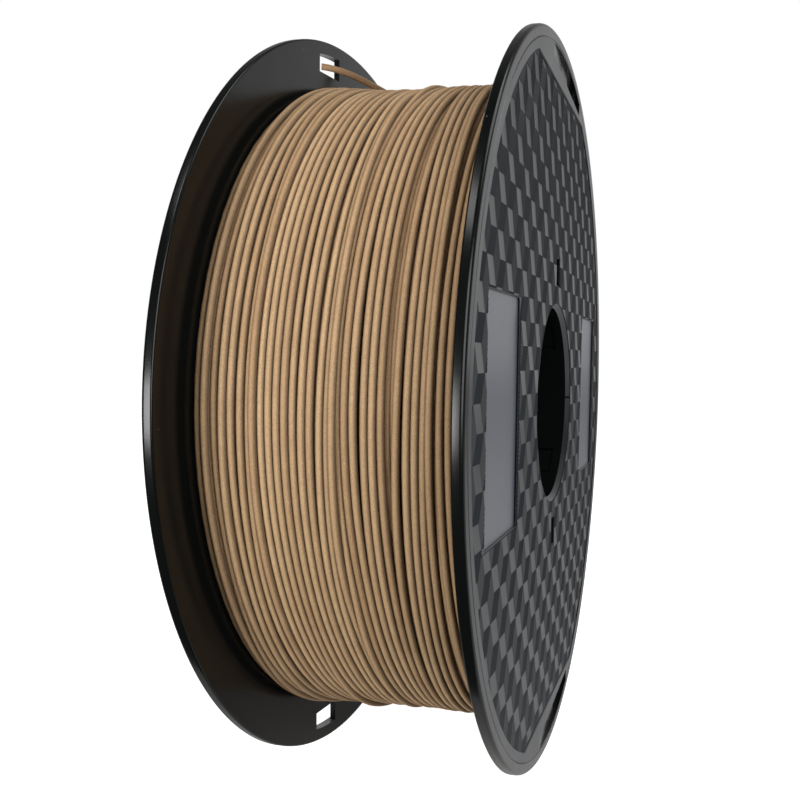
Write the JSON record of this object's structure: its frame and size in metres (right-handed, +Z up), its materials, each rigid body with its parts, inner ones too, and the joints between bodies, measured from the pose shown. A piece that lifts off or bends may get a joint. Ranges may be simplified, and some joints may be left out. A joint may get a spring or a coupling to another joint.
{
  "type": "filament spool",
  "caption": "Round plastic spool of two identical snap-together halves with sunk patterned faces, wound full of wood-filled filament.",
  "frame": {"origin": "centre of the spool, on its axis, midway between its two outer faces", "axes": "the spool's axis is Y and +Z is up; the front half's outer face looks along -Y"},
  "size_m": [0.2, 0.0668, 0.2],
  "materials": {
    "spool_plastic": "glossy moulded black, satin on the outer faces",
    "filament": "matt, wood-filled"
  },
  "bodies": {
    "root": {"spool_half_front": "spool_plastic", "spool_half_rear": "spool_plastic", "filament_winding": "filament", "filament_tail": "filament"}
  },
  "joints": []
}
